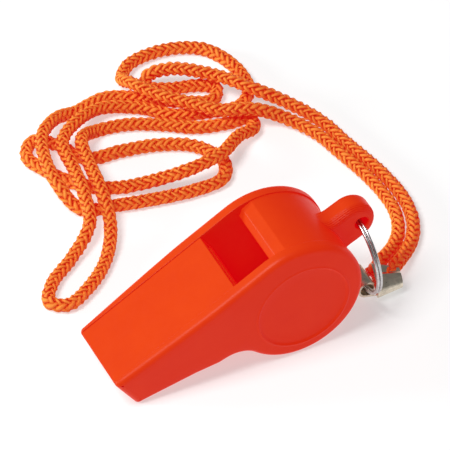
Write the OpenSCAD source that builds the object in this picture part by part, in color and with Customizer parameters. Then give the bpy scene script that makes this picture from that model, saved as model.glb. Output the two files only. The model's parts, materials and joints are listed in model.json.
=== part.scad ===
// Pea whistle with a split ring, a sheet-metal crimp and a braided neck cord.
// The whistle lies on a flat surface, tilted onto the tip of its mouthpiece.
// Millimetres, +Z up, mouthpiece towards -X, lug towards +X.

/* [Whistle] */
// Radius of the round side covers
cover_r = 12; // [11.5:0.5:12.5]
// Distance from the chamber axis to the tip of the mouthpiece
mouth_len = 31.6; // [31:0.2:33]
// Width of the moulded shell between the covers
shell_w = 13; // [12.5:0.5:14]
// Thickness of each side cover
cover_t = 2.2; // [2:0.1:2.5]
// Radius of the sound chamber
chamber_r = 9.7; // [9.5:0.1:10]
// Length of the sound window
window_len = 8.5; // [8:0.1:8.8]
// Diameter of the pea
pea_d = 9.2; // [8.8:0.1:9.4]

/* [Lug and ring] */
// Radius of the rounded lug
lug_r = 3.9; // [3.7:0.1:4.1]
// Thickness of the lug
lug_t = 4.3; // [4:0.1:4.6]
// Radius of the hole through the lug
lug_hole_r = 1.35; // [1.3:0.05:1.5]
// Radius of the split ring at the middle of its wire
ring_r = 7.9; // [7.8:0.05:8]
// Diameter of the ring wire
wire_d = 0.65; // [0.5:0.05:0.8]

/* [Cord and crimp] */
// Diameter of the braided cord
cord_d = 2.4; // [2.2:0.1:2.4]
// How far the cord rises to pass over itself
cord_rise = 2.8; // [2.7:0.1:3]
// Thickness of the crimp's sheet metal
sheet_t = 0.4; // [0.3:0.05:0.45]

/* [Hidden] */
$fn = 96;
HULL_FN = 32;
EPS = 0.01;

plastic_orange = [0.91, 0.24, 0.13];
cork_brown = [0.72, 0.52, 0.33];
steel_grey = [0.72, 0.72, 0.74];
tin_grey = [0.66, 0.62, 0.55];
cord_orange = [0.95, 0.42, 0.2];

// Mouthpiece heights at the tip, in the whistle's own axes (x along it, z across it)
tip_top = 13.9;
tip_bottom = 6.5;

// The whistle leans until the tip's lower edge is level with the bottom of the covers
tip_reach = norm([mouth_len, tip_bottom]);
tilt = asin(cover_r / tip_reach) + atan(tip_bottom / mouth_len);

// Shell
shell_r = cover_r - 0.2;
shell_inset = 0.12;
side_wall = 0.8;
window_front = -5.6;
window_back = window_front + window_len;
lip_len = 1.3;
lip_z = 9.75;
land_len = 2;
land_z = 10.75;
slot_floor = 9.65;
slot_roof = 10.95;
mouth_floor = 8.6;
mouth_roof = 12.4;

// Covers
edge_step = 0.45;
tip_taper = 1.15;
taper_end = -9;
disc_r = 8.65;
disc_rim = 0.45;
disc_depth = 0.35;
disc_centre = [-0.1, -1.2];

// Lug
lug_x = cover_r + 3.1;
lug_z = -2.07;
hole_x = lug_x + 1;
hole_z = lug_z - 0.53;
lug_fillet = 2.2;
lug_round = 1.2;
lug_steps = 6;

// Pea
pea_gap = 0.2;
pea_orbit = chamber_r - pea_d / 2 - pea_gap;

// Split ring: two turns of wire side by side, hung from the lug and leaning on the crimp's eye
ring_top_drop = 0.6;
eye_z = 2.35;
eye_hole_r = 1.25;
lug_world_x = lug_x * cos(tilt) - lug_z * sin(tilt);
hole_world_x = hole_x * cos(tilt) - hole_z * sin(tilt);
hole_world_z = cover_r + hole_x * sin(tilt) + hole_z * cos(tilt);
ring_drop = hole_world_z - ring_top_drop - eye_z;
ring_lean = acos(min(1, ring_drop / (2 * ring_r)));
eye_x = hole_world_x + 2 * ring_r * sin(ring_lean);

// Crimp
clamp_start = eye_x + 2.4;
clamp_end = clamp_start + 4.6;
clamp_wide = 3.2;
clamp_narrow = 1.7;
clamp_tall = 2.6;
clamp_flat = 1.6;
clamp_turn = 15;
clamp_z = 1.9;
seam_gap = 0.35;
eye_len = 5;

// The origin is under the middle of the whistle and ring
tip_world_x = -mouth_len * cos(tilt) - tip_top * sin(tilt);
chamber_x = -(tip_world_x + lug_world_x + lug_r) / 2;

// Cord route: [x, y, level], level 0 on the surface and 1 over another strand.
// x is measured from the chamber axis.
cord_route = [
    // out of the crimp, the outer strand round the ring
    [18.9, -1.4, 0.25], [21.2, -0.7, 0.4], [23.8, 1.1, 0.4], [26.5, 3.4, 0.1], [29.1, 6, 0],
    [31.3, 9.8, 0], [32.5, 15.5, 0],
    [32, 23, 0], [30, 32, 0], [28.5, 39, 0], [25, 45, 0.3], [20, 49.5, 1],
    // first fold, at the back
    [15.5, 55.5, 1], [9, 60.5, 1], [5, 61.5, 0.6], [4.5, 60.5, 0.1], [8, 58.5, 0], [13, 57, 0],
    [15.5, 55, 0], [13.5, 52.5, 0],
    // left to the far end of the bundle and down
    [7, 55.5, 0], [2, 59, 0], [-3.5, 61.5, 0], [-9.5, 60.5, 0], [-14, 59, 0.6], [-18.5, 55, 1],
    [-20.5, 49.5, 1], [-21, 43, 0.8], [-19, 38, 0],
    // right along the front of the bundle and round
    [-12.5, 36, 0], [-6, 34.5, 0], [0.5, 33.5, 0], [6.5, 34, 0], [8.5, 38, 0], [5.5, 43.5, 0],
    [0, 46.5, 0], [-6.5, 48, 0], [-13, 49, 0],
    // small turn at the left end
    [-16, 54.5, 0], [-19.5, 57, 0], [-22, 54, 0], [-20.5, 49.5, 0], [-16.5, 43.5, 0],
    // right again, over the front turn
    [-11, 40, 0], [-5, 37.5, 0.5], [1, 36, 1], [7.5, 37, 1], [13, 41, 0.5], [17, 43, 0],
    [17.5, 45.5, 0], [13.5, 46, 0],
    // left, and forward into the long loop
    [8, 47.5, 0], [2.5, 51, 0], [-2.5, 53.5, 0], [-8, 54.5, 0], [-12.5, 51.5, 0.9],
    [-14, 45.5, 1], [-15, 38.5, 1], [-16.5, 31.5, 0.5], [-20, 25.5, 0], [-25.5, 20.5, 0],
    [-31, 18, 0], [-33.5, 20, 0], [-31, 24, 0], [-25.5, 28, 0], [-20, 32.5, 0.6],
    // back over the bundle and right
    [-18, 39, 1], [-17, 45.5, 1], [-16, 52, 1], [-10.5, 56.5, 0.8], [-5, 58.5, 0.3],
    [1, 56.5, 0], [6, 52, 0], [12, 50, 0], [17, 49, 0], [20.5, 52, 0],
    // round loop at the back
    [21, 58, 0], [18, 65, 0], [11.5, 68, 0], [4.5, 67.5, 0], [1.5, 64.5, 0.1], [1.5, 60.5, 0.9],
    // over the bundle and back to the crimp, the inner strand
    [4, 56, 1], [8, 51.5, 1], [12.5, 47, 1], [18, 44.5, 1], [23, 42, 0.2], [26.4, 36.5, 0],
    [27.7, 31, 0], [29.4, 23, 0], [29.9, 15.5, 0], [28.9, 10.8, 0], [27.1, 7.6, 0],
    [24.4, 5, 0.1], [21.9, 3.1, 0.4], [19.6, 1.5, 0.4], [18.4, 1.1, 0.25]
];
cord_sides = 8;

// Puts a shape drawn in the whistle's own axes where the whistle lies
module lean() {
    translate([chamber_x, 0, cover_r]) rotate([0, -tilt, 0]) children();
}

// Extrudes an outline drawn in x and z from y = from to y = to
module slab(from, to) {
    translate([0, to, 0]) rotate([90, 0, 0]) linear_extrude(to - from) children();
}

// Side outline of the whistle, smaller all round by inset
module side_outline(inset = 0) {
    offset(r = -inset) offset(r = -5) offset(r = 5) union() {
        circle(r = cover_r);
        polygon([[-mouth_len, tip_top], [-mouth_len, tip_bottom], [-21, 3], [-17, 1.3],
                 [0, -2], [0, cover_r]]);
    }
}

// Outline of the shell: the covers stand a little proud of it
module shell_outline() {
    intersection() {
        union() {
            circle(r = shell_r);
            polygon([[-mouth_len, 0], [-mouth_len, cover_r * 2], [0, cover_r * 2], [0, 0], [-4, -6],
                     [-20, -6]]);
        }
        side_outline(shell_inset);
    }
}

module windway_outline() {
    polygon([[-mouth_len - 1, mouth_floor], [window_front + EPS, slot_floor],
             [window_front + EPS, slot_roof], [-mouth_len - 1, mouth_roof]]);
}

module window_outline() {
    lip_x = window_back - lip_len;
    land_x = window_back + land_len;
    land_top = sqrt(shell_r ^ 2 - land_x ^ 2);
    polygon([[window_front, 7.5], [window_front, cover_r + 2], [land_x + 1, cover_r + 2],
             [land_x, land_top], [window_back, land_z], [lip_x, lip_z], [lip_x, 8.5]]);
}

// Hollow under the windway, which keeps the moulding's walls even
module core_outline() {
    offset(r = 0.8) polygon([[-26, 6.3], [-26, 6.9], [-13.8, 7.3], [-13.8, 3.4], [-17, 3.6]]);
}

module lug_outline() {
    offset(r = -lug_fillet) offset(r = lug_fillet) union() {
        circle(r = shell_r);
        hull() {
            translate([lug_x, lug_z]) circle(r = lug_r, $fn = HULL_FN * 2);
            translate([lug_x - 8, lug_z + 1]) circle(r = lug_r, $fn = HULL_FN * 2);
        }
    }
}

// The lug with its long edges rounded off in steps
module lug() {
    for (i = [0 : lug_steps]) let (a = 90 * i / lug_steps)
        slab(-lug_t / 2 + lug_round * (1 - sin(a)), lug_t / 2 - lug_round * (1 - sin(a)))
            difference() {
                offset(r = -lug_round * (1 - cos(a))) lug_outline();
                circle(r = shell_r - 0.5);
            }
}

module body_shell() {
    half = shell_w / 2;
    inner = half - side_wall;
    color(plastic_orange) lean() difference() {
        union() {
            slab(-half, half) shell_outline();
            lug();
        }
        slab(-half - 1, half + 1) circle(r = chamber_r);
        slab(-half - 1, half + 1) core_outline();
        slab(-inner, inner) windway_outline();
        slab(-half - 1, half + 1) window_outline();
        translate([hole_x, lug_t, hole_z]) rotate([90, 0, 0]) cylinder(r = lug_hole_r, h = 2 * lug_t);
    }
}

// One side cover, on the +Y side, with a slightly sunk disc inside a thin raised rim
module cover() {
    inside = shell_w / 2;
    outside = inside + cover_t;
    taper = atan(tip_taper / (mouth_len + taper_end));
    difference() {
        union() {
            slab(inside, outside - edge_step) side_outline();
            slab(outside - edge_step - EPS, outside) side_outline(edge_step);
        }
        slab(outside - disc_depth, outside + 1) translate(disc_centre) difference() {
            circle(r = disc_r);
            difference() {
                circle(r = disc_r - disc_rim);
                circle(r = disc_r - 2 * disc_rim);
            }
        }
        translate([taper_end, outside, -cover_r]) rotate([0, 0, taper])
            translate([-mouth_len, 0, 0]) cube([mouth_len, 3, 3 * cover_r]);
    }
}

module near_cover() {
    color(plastic_orange) lean() mirror([0, 1, 0]) cover();
}

module far_cover() {
    color(plastic_orange) lean() cover();
}

module pea() {
    color(cork_brown) translate([chamber_x, 0, cover_r - pea_orbit]) sphere(d = pea_d);
}

module split_ring() {
    color(steel_grey)
    translate([chamber_x + eye_x, 0, eye_z]) rotate([0, -ring_lean, 0]) translate([0, 0, ring_r])
        rotate([0, 90, 0]) rotate_extrude() translate([ring_r, 0]) union() {
            for (side = [-1, 1]) translate([0, side * wire_d / 2]) circle(d = wire_d, $fn = 24);
            square([wire_d * 0.6, wire_d], center = true);
        }
}

// Flattened tube that narrows towards the cord and points a little to the near side;
// grow is added all round
module clamp_tube(grow, overrun) {
    for (end = [[clamp_start - overrun, clamp_wide, clamp_tall],
                [clamp_end + overrun, clamp_narrow, clamp_flat]])
        translate([end[0], 0, clamp_z]) rotate([90, 0, 90])
            linear_extrude(EPS, center = true) offset(r = grow) hull() for (side = [-1, 1])
                translate([side * (end[1] - end[2] / 2), 0]) circle(d = end[2], $fn = HULL_FN);
}

module turned() {
    translate([eye_x, 0, 0]) rotate([0, 0, -clamp_turn]) translate([-eye_x, 0, 0]) children();
}

module crimp() {
    color(tin_grey) translate([chamber_x, 0, 0]) difference() {
        union() {
            turned() hull() clamp_tube(sheet_t, 0);
            translate([eye_x, 0, eye_z]) rotate([90, 0, 0])
                cylinder(r = eye_hole_r + sheet_t, h = eye_len, center = true);
            turned() translate([eye_x, -eye_len / 2, eye_z - eye_hole_r - sheet_t])
                cube([clamp_start - eye_x + 0.6, eye_len, 2 * sheet_t]);
        }
        turned() hull() clamp_tube(0, 0.5);
        translate([eye_x, 0, eye_z]) rotate([90, 0, 0])
            cylinder(r = eye_hole_r, h = eye_len + 1, center = true);
        turned() translate([clamp_start - 1, -seam_gap / 2, clamp_z]) cube([20, seam_gap, 4]);
    }
}

function unit(v) = v / norm(v);
function route_point(p) = [chamber_x + p[0], p[1], cord_d / 2 + p[2] * cord_rise];
function heading(path, i) = unit(path[min(i + 1, len(path) - 1)] - path[max(i - 1, 0)]);
function cord_ring(path, i) = let (
    along = heading(path, i),
    across = unit(cross([0, 0, 1], along)),
    over = cross(along, across)
) [for (k = [0 : cord_sides - 1]) let (a = 360 * (k + 0.5) / cord_sides)
    path[i] + cord_d / 2 * (cos(a) * across + sin(a) * over)];

module cord() {
    path = [for (p = cord_route) route_point(p)];
    last = len(path) - 1;
    n = cord_sides;
    points = [for (i = [0 : last]) each cord_ring(path, i)];
    sides = [for (i = [0 : last - 1]) for (k = [0 : n - 1])
        let (next = (k + 1) % n) [n * i + k, n * (i + 1) + k, n * (i + 1) + next, n * i + next]];
    caps = [[for (k = [0 : n - 1]) k], [for (k = [n - 1 : -1 : 0]) n * last + k]];
    color(cord_orange) polyhedron(points, concat(sides, caps), convexity = 10);
}

body_shell();
near_cover();
far_cover();
pea();
split_ring();
crimp();
cord();
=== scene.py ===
"""An orange pea whistle on its split ring, crimp and braided neck cord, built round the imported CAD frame.

Sizes are in millimetres and become metres where a mesh is made. The whistle's own axes are x from the
mouthpiece to the lug, y from the near cover to the far one and z from the underside to the deck, with the
origin on the chamber's axis. The whistle lies tilted, and leaning() turns these into the frame's axes.
"""

import json
import math

import bmesh
import bpy
import numpy as np
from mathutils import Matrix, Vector
from mathutils.geometry import delaunay_2d_cdt


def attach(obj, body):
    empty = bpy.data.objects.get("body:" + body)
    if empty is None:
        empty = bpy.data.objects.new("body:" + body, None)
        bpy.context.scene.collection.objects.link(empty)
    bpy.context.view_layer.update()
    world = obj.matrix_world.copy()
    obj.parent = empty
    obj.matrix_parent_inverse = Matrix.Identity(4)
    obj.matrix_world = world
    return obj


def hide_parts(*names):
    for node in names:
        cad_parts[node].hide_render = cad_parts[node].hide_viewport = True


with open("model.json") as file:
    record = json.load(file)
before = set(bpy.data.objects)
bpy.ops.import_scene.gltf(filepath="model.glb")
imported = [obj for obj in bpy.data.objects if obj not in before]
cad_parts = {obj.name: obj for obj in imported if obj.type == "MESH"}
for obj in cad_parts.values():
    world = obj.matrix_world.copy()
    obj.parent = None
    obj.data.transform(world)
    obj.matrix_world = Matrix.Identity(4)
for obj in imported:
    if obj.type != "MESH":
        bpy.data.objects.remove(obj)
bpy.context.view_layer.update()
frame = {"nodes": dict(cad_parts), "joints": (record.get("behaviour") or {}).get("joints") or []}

MM = 0.001
JOINTS = {joint["name"]: joint for joint in frame["joints"]}
CHAMBER = np.array(JOINTS["pea_roll"]["pos_m"]) / MM
EYE = np.array(JOINTS["ring_swing"]["pos_m"]) / MM
RING_TOP = np.array(JOINTS["whistle_swing"]["pos_m"]) / MM

# The whistle, in its own axes
COVER_R = CHAMBER[2]
MOUTH_LEN = 31.6
TIP_TOP = 13.9
TIP_BOTTOM = 6.5
TIP_CORNER_R = 0.7
KNEE = (-21.0, 3.0)
HEEL = (-17.0, 1.3)
HEEL_AIM = (0.0, -2.0)
HEEL_FILLET_R = 5.0
# It leans until the tip's lower edge is level with the bottom of the covers
TILT = math.asin(COVER_R / math.hypot(MOUTH_LEN, TIP_BOTTOM)) + math.atan(TIP_BOTTOM / MOUTH_LEN)
COVER_INSIDE = 6.5
COVER_OUTSIDE = 8.7
TIP_OUTSIDE = 7.55
TAPER_END = -9.0
TAPER_CURVE = 1.3
COVER_EDGE_R = 1.15
DISC_CENTRE = np.array([-0.1, -1.2])
DISC_R = 8.5
DISC_RIM_HEIGHT = 0.18
DISC_RIM_SPREAD = 0.18
DISC_SUNK = 0.22

# The split ring's flat wire
WIRE_HALF_THICK = 0.33
WIRE_HALF_WIDE = 0.27
WIRE_GAP = 0.04
WIRE_START = math.radians(205)

# The cord. A route point is x from the chamber's axis, y, and how many cords it lies over
CORD_D = 2.4
CORD_RISE = 2.8
ROUTE = [
    # out of the crimp, the outer strand round the ring
    (18.9, -1.4, 0.25), (21.2, -0.7, 0.4), (23.8, 1.1, 0.4), (26.5, 3.4, 0.1), (29.1, 6, 0),
    (31.3, 9.8, 0), (32.5, 15.5, 0),
    (32, 23, 0), (30, 32, 0), (28.5, 39, 0), (25, 45, 0.3), (20, 49.5, 1),
    # first fold, at the back
    (15.5, 55.5, 1), (9, 60.5, 1), (5, 61.5, 0.6), (4.5, 60.5, 0.1), (8, 58.5, 0), (13, 57, 0),
    (15.5, 55, 0), (13.5, 52.5, 0),
    # left to the far end of the bundle and down
    (7, 55.5, 0), (2, 59, 0), (-3.5, 61.5, 0), (-9.5, 60.5, 0), (-14, 59, 0.6), (-18.5, 55, 1),
    (-20.5, 49.5, 1), (-21, 43, 0.8), (-19, 38, 0),
    # right along the front of the bundle and round
    (-12.5, 36, 0), (-6, 34.5, 0), (0.5, 33.5, 0), (6.5, 34, 0), (8.5, 38, 0), (5.5, 43.5, 0),
    (0, 46.5, 0), (-6.5, 48, 0), (-13, 49, 0),
    # small turn at the left end
    (-16, 54.5, 0), (-19.5, 57, 0), (-22, 54, 0), (-20.5, 49.5, 0), (-16.5, 43.5, 0),
    # right again, over the front turn
    (-11, 40, 0), (-5, 37.5, 0.5), (1, 36, 1), (7.5, 37, 1), (13, 41, 0.5), (17, 43, 0),
    (17.5, 45.5, 0), (13.5, 46, 0),
    # left, and forward into the long loop
    (8, 47.5, 0), (2.5, 51, 0), (-2.5, 53.5, 0), (-8, 54.5, 0), (-12.5, 51.5, 0.9),
    (-14, 45.5, 1), (-15, 38.5, 1), (-16.5, 31.5, 0.5), (-20, 25.5, 0), (-25.5, 20.5, 0),
    (-31, 18, 0), (-33.5, 20, 0), (-31, 24, 0), (-25.5, 28, 0), (-20, 32.5, 0.6),
    # back over the bundle and right
    (-18, 39, 1), (-17, 45.5, 1), (-16, 52, 1), (-10.5, 56.5, 0.8), (-5, 58.5, 0.3),
    (1, 56.5, 0), (6, 52, 0), (12, 50, 0), (17, 49, 0), (20.5, 52, 0),
    # round loop at the back
    (21, 58, 0), (18, 65, 0), (11.5, 68, 0), (4.5, 67.5, 0), (1.5, 64.5, 0.1), (1.5, 60.5, 0.9),
    # over the bundle and back to the crimp, the inner strand
    (4, 56, 1), (8, 51.5, 1), (12.5, 47, 1), (18, 44.5, 1), (23, 42, 0.2), (26.4, 36.5, 0),
    (27.7, 31, 0), (29.4, 23, 0), (29.9, 15.5, 0), (28.9, 10.8, 0), (27.1, 7.6, 0),
    (24.4, 5, 0.1), (21.9, 3.1, 0.4), (19.6, 1.5, 0.4), (18.4, 1.1, 0.25),
]

# The cord's braid. Heights run from 0 down between the yarns to 1 on the crests, and drive the colour:
# painted shade, dark red, at 0 and a painted highlight, pale orange, at 1
YARNS_EACH_WAY = 6
BRAID_PITCH = 8.2
STEPS_PER_PITCH = 28
YARN_HALF_WIDTH = 0.49
YARN_RISE = 0.14
YARN_CREST = 0.17
YARN_BASE_R = 0.96
YARN_WANDER = 0.1
YARN_ROUGH_R = 0.03
YARN_ROUGH_WIDTH = 0.14
CROSSING_SHARPNESS = 1.25
# Heights at a yarn's edges and along its crests, higher where it lies over at a crossing; they set the
# painted shade and painted highlight of its colour
EDGE_HEIGHT, EDGE_LIFT = 0.3, 0.1
CREST_HEIGHT, CREST_LIFT = 0.65, 0.35
CORE_R = 0.84
CORE_SIDES = 6

# The camera, from the point it looks at, which is measured from the chamber's centre
CAMERA_AZIMUTH = math.radians(-26.3)
CAMERA_ELEVATION = math.radians(44.9)
CAMERA_DISTANCE = 1000.0
CAMERA_LENS = 472.0
LOOKS_AT = np.array([-5.55, 8.81, 5.46])


# ---------------------------------------------------------------- mesh helpers


def unit(vector):
    return vector / np.linalg.norm(vector)


def leaning(points):
    """Points in the whistle's own axes, moved to where the whistle lies."""
    x, y, z = np.asarray(points, float).reshape(-1, 3).T
    along = x * math.cos(TILT) - z * math.sin(TILT)
    up = x * math.sin(TILT) + z * math.cos(TILT)
    return np.column_stack([along, y, up]) + CHAMBER


def make_mesh(name, points, faces):
    """A new smooth-shaded object from points in millimetres and faces."""
    mesh = bpy.data.meshes.new(name)
    mesh.from_pydata([tuple(p) for p in np.asarray(points) * MM], [], faces)
    mesh.validate()
    bm = bmesh.new()
    bm.from_mesh(mesh)
    bmesh.ops.recalc_face_normals(bm, faces=bm.faces)
    bm.to_mesh(mesh)
    bm.free()
    mesh.shade_smooth()
    piece = bpy.data.objects.new(name, mesh)
    bpy.context.scene.collection.objects.link(piece)
    return piece


def tube_faces(rings, sides, first=0):
    """Faces of a tube whose points run ring by ring, with the end face at the start, then the far one."""
    faces = []
    for i in range(rings - 1):
        a = first + i * sides
        b = a + sides
        for k in range(sides):
            n = (k + 1) % sides
            faces.append((a + k, a + n, b + n, b + k))
    last = first + (rings - 1) * sides
    faces.append(tuple(range(first + sides - 1, first - 1, -1)))
    faces.append(tuple(range(last, last + sides)))
    return faces


def frames_along(line):
    """Across and over directions at each point of a line, turning as little as they can."""
    along = np.gradient(line, axis=0)
    along /= np.linalg.norm(along, axis=1)[:, None]
    across = np.zeros_like(line)
    hint = np.cross((0.0, 0.0, 1.0), along[0])
    for i, ahead in enumerate(along):
        hint = unit(hint - ahead * np.dot(hint, ahead))
        across[i] = hint
    return across, np.cross(along, across)


# ---------------------------------------------------------------- cord


def smooth_line(points, step):
    """A centripetal Catmull-Rom curve through points, as points a step apart, and its length."""
    p = np.vstack([2 * points[0] - points[1], points, 2 * points[-1] - points[-2]])
    fine = []
    for a, b, c, d in zip(p, p[1:], p[2:], p[3:]):
        t1 = np.linalg.norm(b - a) ** 0.5
        t2 = t1 + np.linalg.norm(c - b) ** 0.5
        t3 = t2 + np.linalg.norm(d - c) ** 0.5
        for t in np.linspace(t1, t2, 20, endpoint=False):
            ab = (t1 - t) / t1 * a + t / t1 * b
            bc = (t2 - t) / (t2 - t1) * b + (t - t1) / (t2 - t1) * c
            cd = (t3 - t) / (t3 - t2) * c + (t - t2) / (t3 - t2) * d
            abc = (t2 - t) / t2 * ab + t / t2 * bc
            bcd = (t3 - t) / (t3 - t1) * bc + (t - t1) / (t3 - t1) * cd
            fine.append((t2 - t) / (t2 - t1) * abc + (t - t1) / (t2 - t1) * bcd)
    fine = np.array(fine + [points[-1]])
    far = np.r_[0, np.cumsum(np.linalg.norm(np.diff(fine, axis=0), axis=1))]
    places = np.linspace(0, far[-1], max(2, round(far[-1] / step)))
    return np.column_stack([np.interp(places, far, fine[:, k]) for k in range(3)]), far[-1]


def cord_line(step):
    """The cord's centre line as points a step apart, and its length."""
    route = np.array([(x + CHAMBER[0], y, CORD_D / 2 + level * CORD_RISE) for x, y, level in ROUTE])
    return smooth_line(route, step)


def unevenness(turn, rng):
    """A slow seeded wobble along the cord, mostly between -1 and 1."""
    waves = [np.sin(rate * turn + phase) for rate, phase in zip((1.3, 2.9, 4.7), rng.uniform(0, 6.28, 3))]
    return sum(waves) / 1.8


def make_cord():
    """The neck cord: a braid of flat yarns, two over and two under, round a core coloured dark red as painted
    shade.
    """
    line, length = cord_line(BRAID_PITCH / STEPS_PER_PITCH)
    across, over = frames_along(line)
    turn = np.linspace(0, length, len(line)) / BRAID_PITCH * 2 * math.pi
    points = []
    heights = []
    faces = []

    def ring_points(angle, radius):
        return line + radius[:, None] * (np.cos(angle)[:, None] * across + np.sin(angle)[:, None] * over)

    def add_tube(rows, row_heights):
        first = sum(len(block) for block in points)
        points.append(np.stack(rows, axis=1).reshape(-1, 3))
        heights.append(np.stack(row_heights, axis=1).ravel())
        faces.extend(tube_faces(len(rows[0]), len(rows), first))

    rng = np.random.default_rng(5)
    for way in (1, -1):
        for k in range(YARNS_EACH_WAY):
            angle = way * turn + 2 * math.pi * k / YARNS_EACH_WAY + YARN_WANDER * unevenness(turn, rng)
            weave = math.pi * k + way * YARNS_EACH_WAY / 2 * turn - math.pi / 4
            lift = np.clip(CROSSING_SHARPNESS * way * np.cos(weave), -1, 1)
            radius = YARN_BASE_R + YARN_RISE * lift + YARN_ROUGH_R * unevenness(turn, rng)
            spread = YARN_HALF_WIDTH / YARN_BASE_R * (1 + YARN_ROUGH_WIDTH * unevenness(turn, rng))
            # the heights set the colour: painted shade at the yarn's edges and where it lies under, a painted
            # highlight along its crests and where it lies over
            edge = EDGE_HEIGHT + EDGE_LIFT * lift
            add_tube(
                [ring_points(angle - spread, radius), ring_points(angle, radius + YARN_CREST),
                 ring_points(angle + spread, radius)],
                [edge, CREST_HEIGHT + CREST_LIFT * lift, edge],
            )
    every_other = slice(None, None, 2)
    line, across, over = line[every_other], across[every_other], over[every_other]
    zero = np.zeros(len(line))
    around = [2 * math.pi * k / CORE_SIDES for k in range(CORE_SIDES)]
    # the core has height 0 everywhere, so it is coloured dark red as painted shade in the gaps between yarns
    add_tube([ring_points(zero + angle, zero + CORE_R) for angle in around], [zero] * CORE_SIDES)

    places = np.vstack(points)
    places[:, 2] = np.maximum(places[:, 2], 0)  # it lies on the floor, not in it
    cord = make_mesh("braided_cord", places, faces)
    # the heights drive the cord's painted shade and painted highlight
    height = cord.data.attributes.new("height", "FLOAT", "POINT")
    height.data.foreach_set("value", np.concatenate(heights))
    cord.data.materials.append(cord_material())
    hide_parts("cord")
    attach(cord, "lanyard")


# ---------------------------------------------------------------- whistle


def arc(centre, radius, start, end, count):
    """Points on an arc, angles in degrees, anticlockwise if end is more than start."""
    angles = np.radians(np.linspace(start, end, count))
    return [(centre[0] + radius * math.cos(a), centre[1] + radius * math.sin(a)) for a in angles]


def corner(before, point, after, radius, count=6):
    """The points of a rounded corner between two straight lines."""
    before, point, after = (np.array(p, float) for p in (before, point, after))
    back = unit(before - point)
    ahead = unit(after - point)
    half = math.acos(np.clip(np.dot(back, ahead), -1, 1)) / 2
    centre = point + unit(back + ahead) * radius / math.sin(half)
    start = point + back * radius / math.tan(half) - centre
    end = point + ahead * radius / math.tan(half) - centre
    sweep = math.acos(np.clip(np.dot(unit(start), unit(end)), -1, 1))
    return [tuple(centre + (math.sin((1 - t) * sweep) * start + math.sin(t * sweep) * end) / math.sin(sweep))
            for t in np.linspace(0, 1, count)]


def divided(start, end, count):
    """Points along a straight line, without its ends."""
    return [tuple(np.array(start) + (np.array(end) - np.array(start)) * t)
            for t in np.linspace(0, 1, count + 2)[1:-1]]


def side_outline():
    """The whistle's side outline, anticlockwise, in x and z.

    The top runs straight from the tip to where it touches the barrel's circle. Underneath, the line past
    the heel meets the circle in a fillet that is tangent to both.
    """
    tip_top = (-MOUTH_LEN, TIP_TOP)
    tip_bottom = (-MOUTH_LEN, TIP_BOTTOM)
    touch = math.degrees(math.atan2(TIP_TOP, -MOUTH_LEN) - math.acos(COVER_R / math.hypot(*tip_top)))
    ahead = unit(np.array(HEEL_AIM) - np.array(HEEL))
    below = np.array([ahead[1], -ahead[0]])
    start = np.array(HEEL) + HEEL_FILLET_R * below
    middle = -np.dot(start, ahead)
    run = middle - math.sqrt(middle**2 - (start @ start - (COVER_R + HEEL_FILLET_R) ** 2))
    fillet_centre = start + run * ahead
    facing = math.degrees(math.atan2(fillet_centre[1], fillet_centre[0]))
    back = math.degrees(math.atan2(-below[1], -below[0]))
    on_circle = arc((0, 0), COVER_R, facing, touch, 90)
    top = on_circle[-1]
    fillet = arc(fillet_centre, HEEL_FILLET_R, back, facing + 180, 12)
    tip = corner(top, tip_top, tip_bottom, TIP_CORNER_R) + corner(tip_top, tip_bottom, KNEE, TIP_CORNER_R)
    points = divided(top, tip[0], 24) + tip + divided(tip[-1], KNEE, 8) + [KNEE, HEEL] + fillet
    return np.array(points + on_circle[1:])


def inset(outline, amount):
    """A closed anticlockwise outline moved inwards by an amount at each point."""
    before = np.roll(outline, 1, axis=0)
    after = np.roll(outline, -1, axis=0)
    a = outline - before
    b = after - outline
    a /= np.linalg.norm(a, axis=1)[:, None]
    b /= np.linalg.norm(b, axis=1)[:, None]
    inwards_a = np.column_stack([-a[:, 1], a[:, 0]])
    inwards_b = np.column_stack([-b[:, 1], b[:, 0]])
    middle = inwards_a + inwards_b
    middle /= np.linalg.norm(middle, axis=1)[:, None]
    stretch = 1 / np.maximum(0.5, np.sum(middle * inwards_a, axis=1))
    return outline + middle * (amount * stretch)[:, None]


def outside_at(x):
    """How far out the cover's face is at x: flat over the barrel, closing in towards the tip."""
    t = np.clip((TAPER_END - np.asarray(x, float)) / (MOUTH_LEN + TAPER_END), 0, 1)
    return COVER_OUTSIDE - (COVER_OUTSIDE - TIP_OUTSIDE) * t**TAPER_CURVE


def disc_relief(x, z):
    """Height of the face near the disc: a thin raised rim, and a slightly sunk middle with a soft step."""
    far = np.hypot(np.asarray(x) - DISC_CENTRE[0], np.asarray(z) - DISC_CENTRE[1])
    step_in, step_softness = 0.1, 0.08
    rim = DISC_RIM_HEIGHT * np.exp(-(((far - DISC_R) / DISC_RIM_SPREAD) ** 2))
    sunk = DISC_SUNK / (1 + np.exp((far - DISC_R + step_in) / step_softness))
    return rim - sunk


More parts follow.
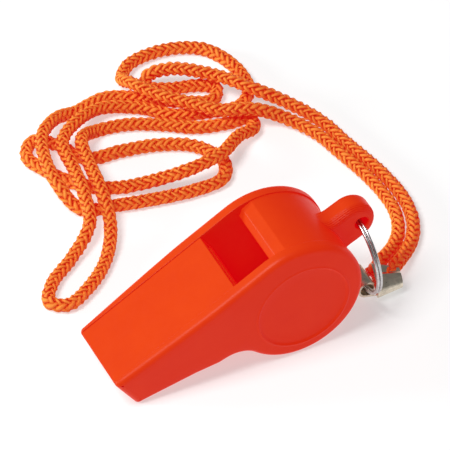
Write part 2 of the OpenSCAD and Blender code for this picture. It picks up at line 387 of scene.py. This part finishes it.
def face_points(outline):
    """Points and edges for a cover's face: its rim, rings about the disc, and a grid towards the tip."""
    points = [Vector(p) for p in outline]
    edges = [(i, (i + 1) % len(outline)) for i in range(len(outline))]
    rim_rings = [DISC_R + off for off in (0.45, 0.28, 0.14, 0, -0.14, -0.28, -0.5)]
    for radius in rim_rings + [6.0, 4.0, 2.0]:
        first = len(points)
        sides = 96 if radius in rim_rings else 32
        points += [Vector(p) for p in arc(DISC_CENTRE, radius, 0, 360, sides + 1)[:-1]]
        if radius in rim_rings:
            edges += [(first + i, first + (i + 1) % sides) for i in range(sides)]
    low_line = inset(side_outline(), 2.2)
    points += [Vector(p) for p in low_line if p[0] < TAPER_END and np.hypot(*p) > COVER_R]
    grid_step, grid_start = 1.5, -29.5
    for x in np.arange(grid_start, TAPER_END, grid_step):
        from_tip = x + MOUTH_LEN
        top = TIP_TOP + (COVER_R - TIP_TOP) * from_tip / MOUTH_LEN - 3
        bottom = max(TIP_BOTTOM - from_tip * 0.35, -1) + 2.8
        points += [Vector((x, z)) for z in np.arange(bottom, top, grid_step)]
    return points, edges


def make_cover(name, side):
    """A side cover with well rounded outer edges. side is -1 for the near one and 1 for the far one."""
    outline = side_outline()
    count = len(outline)
    flattening = 0.92
    layers = [(outline, np.full(count, COVER_INSIDE))]
    for turn in np.radians(np.linspace(0, 90, 8)):
        drawn = inset(outline, COVER_EDGE_R * flattening * (1 - math.cos(turn)))
        out = outside_at(drawn[:, 0])
        depth = np.minimum(COVER_EDGE_R, flattening * (out - COVER_INSIDE))
        layers.append((drawn, out - depth * (1 - math.sin(turn))))
    points = [np.column_stack([loop[:, 0], side * out, loop[:, 1]]) for loop, out in layers]
    faces = tube_faces(len(layers), count)[:-1]

    face = delaunay_2d_cdt(*face_points(layers[-1][0]), [], 1, 1e-5)
    x, z = np.array([tuple(p) for p in face[0]]).T
    first = count * len(layers)
    points.append(np.column_stack([x, side * (outside_at(x) + disc_relief(x, z)), z]))
    faces += [tuple(first + i for i in triangle) for triangle in face[2]]
    cover = make_mesh(name, leaning(np.vstack(points)), faces)
    bm = bmesh.new()
    bm.from_mesh(cover.data)
    bmesh.ops.remove_doubles(bm, verts=bm.verts, dist=0.002 * MM)
    bmesh.ops.recalc_face_normals(bm, faces=bm.faces)
    bm.to_mesh(cover.data)
    bm.free()
    cover.data.set_sharp_from_angle(angle=math.radians(50))
    return cover


def make_covers(plastic):
    """Both side covers, each in place of its CAD node."""
    for name, side, node in (("near_side_cover", -1, "near_cover"), ("far_side_cover", 1, "far_cover")):
        cover = make_cover(name, side)
        cover.data.materials.append(plastic)
        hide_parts(node)
        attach(cover, "whistle")


def dressed(node, material):
    """A CAD node that is kept as it is, with a material of its own."""
    piece = frame["nodes"][node]
    piece.data.materials.clear()
    piece.data.materials.append(material)
    return piece


def finish_shell(plastic):
    """The moulded shell. Its edges are softened by the plastic's shading."""
    shell = dressed("body_shell", plastic)


# ---------------------------------------------------------------- ring, crimp and pea


def make_ring():
    """The split ring: two turns of flat wire, side by side, with a step where they cross over."""
    wire_sides = 12
    crossing_steepness = 6
    down = unit(EYE - RING_TOP)
    sideways = np.array([0.0, -1.0, 0.0])
    normal = np.cross(down, sideways)
    centre = (EYE + RING_TOP) / 2
    radius = np.linalg.norm(EYE - RING_TOP) / 2
    rows = []
    for turn in np.linspace(0, 2, 241):
        angle = WIRE_START + 2 * math.pi * turn
        out = -math.cos(angle) * down + math.sin(angle) * sideways
        offset = (WIRE_HALF_WIDE + WIRE_GAP / 2) * np.clip((turn - 1) * crossing_steepness, -1, 1)
        middle = centre + out * radius + normal * offset
        rows.append([middle + WIRE_HALF_THICK * math.cos(a) * out + WIRE_HALF_WIDE * math.sin(a) * normal
                     for a in np.linspace(0, 2 * math.pi, wire_sides + 1)[:-1]])
    ring = make_mesh("split_ring_wire", np.array(rows).reshape(-1, 3), tube_faces(len(rows), wire_sides))
    ring.data.set_sharp_from_angle(angle=math.radians(50))
    ring.data.materials.append(metal_material("ring_metal", (0.66, 0.65, 0.65), 0.27, 20))
    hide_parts("split_ring")
    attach(ring, "ring")


def finish_crimp():
    """The crimp, with the sheet's pressed edges slightly rounded."""
    crimp = dressed("crimp", metal_material("crimp_metal", (0.86, 0.78, 0.63), 0.38, 18))
    edge = crimp.modifiers.new("pressed_edges", "BEVEL")
    edge.width = 0.09 * MM
    edge.segments = 2
    edge.limit_method = "ANGLE"
    edge.angle_limit = math.radians(40)


def finish_pea():
    """The pea, which shows in the window as it rolls."""
    pea = dressed("pea", cork_material())


# ---------------------------------------------------------------- materials


def new_material(name, color, roughness):
    """A node material, with its node tree and its shader node."""
    material = bpy.data.materials.new(name)
    material.use_nodes = True
    shader = material.node_tree.nodes["Principled BSDF"]
    shader.inputs["Base Color"].default_value = (*color, 1)
    shader.inputs["Roughness"].default_value = roughness
    return material, material.node_tree, shader


def noise(tree, scale, detail=4.0):
    """A noise in object coordinates, with scale in waves per metre."""
    coordinates = tree.nodes.new("ShaderNodeTexCoord")
    texture = tree.nodes.new("ShaderNodeTexNoise")
    texture.inputs["Scale"].default_value = scale
    texture.inputs["Detail"].default_value = detail
    texture.inputs["Roughness"].default_value = 0.6
    tree.links.new(coordinates.outputs["Object"], texture.inputs["Vector"])
    return texture.outputs["Fac"]


def ramp(tree, factor, low, high, start=0.3, end=0.7):
    """A colour that runs from low to high as the factor runs from start to end."""
    node = tree.nodes.new("ShaderNodeValToRGB")
    node.color_ramp.elements[0].position = start
    node.color_ramp.elements[0].color = (*low, 1)
    node.color_ramp.elements[1].position = end
    node.color_ramp.elements[1].color = (*high, 1)
    tree.links.new(factor, node.inputs["Fac"])
    return node.outputs["Color"]


def bump(tree, height, strength, distance):
    """A surface normal from a height, with distance in metres."""
    node = tree.nodes.new("ShaderNodeBump")
    node.inputs["Strength"].default_value = strength
    node.inputs["Distance"].default_value = distance
    tree.links.new(height, node.inputs["Height"])
    return node.outputs["Normal"]


def grey(value):
    return (value, value, value)


def glow(shader, color, strength):
    """A constant glow. On the orange parts it is painted light that keeps their shaded sides bright red; on
    the floor it keeps the floor evenly bright.
    """
    shader.inputs["Emission Color"].default_value = (*color, 1)
    shader.inputs["Emission Strength"].default_value = strength


def plastic_material():
    """Fluorescent orange moulded plastic, slightly cloudy, with soft edges and a fine matt grain. Its
    constant red glow is painted light that keeps the shaded sides bright red.
    """
    material, tree, shader = new_material("orange_moulding", (0.2, 0.037, 0.002), 0.4)
    cloudy = ramp(tree, noise(tree, 180), (0.19, 0.034, 0.002), (0.21, 0.039, 0.002))
    tree.links.new(cloudy, shader.inputs["Base Color"])
    tree.links.new(ramp(tree, noise(tree, 900), grey(0.3), grey(0.38)), shader.inputs["Roughness"])
    soft = tree.nodes.new("ShaderNodeBevel")
    soft.samples = 6
    soft.inputs["Radius"].default_value = 0.3 * MM
    grain = bump(tree, noise(tree, 2600, 3.0), 0.05, 0.0001)
    tree.links.new(soft.outputs["Normal"], grain.node.inputs["Normal"])
    tree.links.new(grain, shader.inputs["Normal"])
    shader.inputs["Specular IOR Level"].default_value = 0.09
    # painted light: a constant red glow that keeps the shaded sides bright red
    glow(shader, (1.0, 0.0, 0.006), 0.53)
    return material


def cord_material():
    """Polypropylene yarn with fine filaments, coloured by the height attribute: a painted highlight, pale
    orange, on the crests, painted shade, dark red, down between the yarns and on the core, and a constant red
    glow that is painted light keeping the shade red.
    """
    # the first colour is painted shade, the last a painted highlight; the middle one is the yarn's own orange
    painted_shade_red, flank, painted_highlight_orange = (0.3, 0.006, 0.003), (0.36, 0.11, 0.012), (0.4, 0.21, 0.03)
    material, tree, shader = new_material("orange_yarn", flank, 0.5)
    height = tree.nodes.new("ShaderNodeAttribute")
    height.attribute_name = "height"
    uneven = tree.nodes.new("ShaderNodeMath")
    uneven.operation = "MULTIPLY_ADD"
    uneven.inputs[1].default_value = 0.5
    tree.links.new(noise(tree, 700, 6.0), uneven.inputs[0])
    tree.links.new(height.outputs["Fac"], uneven.inputs[2])
    color = ramp(tree, uneven.outputs["Value"], painted_shade_red, painted_highlight_orange, 0.35, 1.0)
    color.node.color_ramp.elements.new(0.68).color = (*flank, 1)
    tree.links.new(color, shader.inputs["Base Color"])
    tree.links.new(bump(tree, noise(tree, 9000, 2.0), 0.35, 0.00008), shader.inputs["Normal"])
    shader.inputs["Specular IOR Level"].default_value = 0.08
    # painted light: a constant red glow that keeps the cord's shade red
    glow(shader, (1.0, 0.004, 0.008), 0.42)
    return material


def metal_material(name, color, roughness, scratch_scale):
    """Bare metal with dull patches, uneven polish and fine scratches."""
    material, tree, shader = new_material(name, color, roughness)
    cloud = noise(tree, scratch_scale * 60, 5.0)
    dark = tuple(0.72 * c for c in color)
    tree.links.new(ramp(tree, cloud, dark, color, 0.25, 0.6), shader.inputs["Base Color"])
    worn = ramp(tree, noise(tree, scratch_scale * 90), grey(roughness * 0.7), grey(roughness * 1.5))
    tree.links.new(worn, shader.inputs["Roughness"])
    tree.links.new(bump(tree, noise(tree, scratch_scale * 120, 3.0), 0.12, 0.00005), shader.inputs["Normal"])
    shader.inputs["Metallic"].default_value = 1.0
    return material


def cork_material():
    """Cork: a rough brown grain with dark pits."""
    material, tree, shader = new_material("cork", (0.5, 0.3, 0.15), 0.85)
    grain = noise(tree, 1400, 6.0)
    tree.links.new(ramp(tree, grain, (0.2, 0.1, 0.045), (0.55, 0.35, 0.19), 0.35, 0.6),
                   shader.inputs["Base Color"])
    tree.links.new(bump(tree, grain, 0.8, 0.0003), shader.inputs["Normal"])
    return material


# ---------------------------------------------------------------- stage


def make_camera():
    """A long lens, at the angles named above."""
    camera = bpy.data.objects.new("camera", bpy.data.cameras.new("camera"))
    bpy.context.scene.collection.objects.link(camera)
    back = Vector((
        math.sin(CAMERA_AZIMUTH) * math.cos(CAMERA_ELEVATION),
        -math.cos(CAMERA_AZIMUTH) * math.cos(CAMERA_ELEVATION),
        math.sin(CAMERA_ELEVATION),
    ))
    camera.location = (Vector(CHAMBER + LOOKS_AT) + back * CAMERA_DISTANCE) * MM
    camera.rotation_euler = (-back).to_track_quat("-Z", "Y").to_euler()
    camera.data.sensor_width = 36.0
    camera.data.lens = CAMERA_LENS
    camera.data.clip_start = 0.05
    bpy.context.scene.camera = camera


def area_light(name, place, target, size, power):
    """A round soft light, with its places and size in metres and its power in watts."""
    light = bpy.data.lights.new(name, "AREA")
    light.shape = "DISK"
    light.size = size
    light.energy = power
    lamp = bpy.data.objects.new(name, light)
    bpy.context.scene.collection.objects.link(lamp)
    lamp.location = place
    lamp.rotation_euler = (Vector(target) - Vector(place)).to_track_quat("-Z", "Y").to_euler()


def make_stage():
    """A white floor, bright enough that shadows stay faint, two soft lights and a dim white sky."""
    reach, drop = 900, 0.02
    corners = [(-reach, -reach, -drop), (reach, -reach, -drop), (reach, reach, -drop), (-reach, reach, -drop)]
    floor = make_mesh("floor", corners, [(0, 1, 2, 3)])
    material, tree, shader = new_material("floor_white", grey(0.5), 0.9)
    tree.links.new(ramp(tree, noise(tree, 6), grey(0.48), grey(0.5)), shader.inputs["Base Color"])
    glow(shader, grey(1), 0.5)
    floor.data.materials.append(material)
    area_light("key", (-0.3, -0.02, 0.6), (0, 0.01, 0), 0.3, 4.4)
    area_light("left", (-0.6, 0.35, 0.15), (0, 0.01, 0.01), 0.25, 4.5)
    world = bpy.data.worlds.new("studio")
    world.use_nodes = True
    sky = world.node_tree.nodes["Background"]
    sky.inputs["Color"].default_value = (1, 1, 1, 1)
    sky.inputs["Strength"].default_value = 0.15
    bpy.context.scene.world = world
    bpy.context.scene.view_settings.view_transform = "Standard"


# ---------------------------------------------------------------- build

make_camera()
make_cord()
orange = plastic_material()
make_covers(orange)
finish_shell(orange)
make_ring()
finish_crimp()
finish_pea()
make_stage()
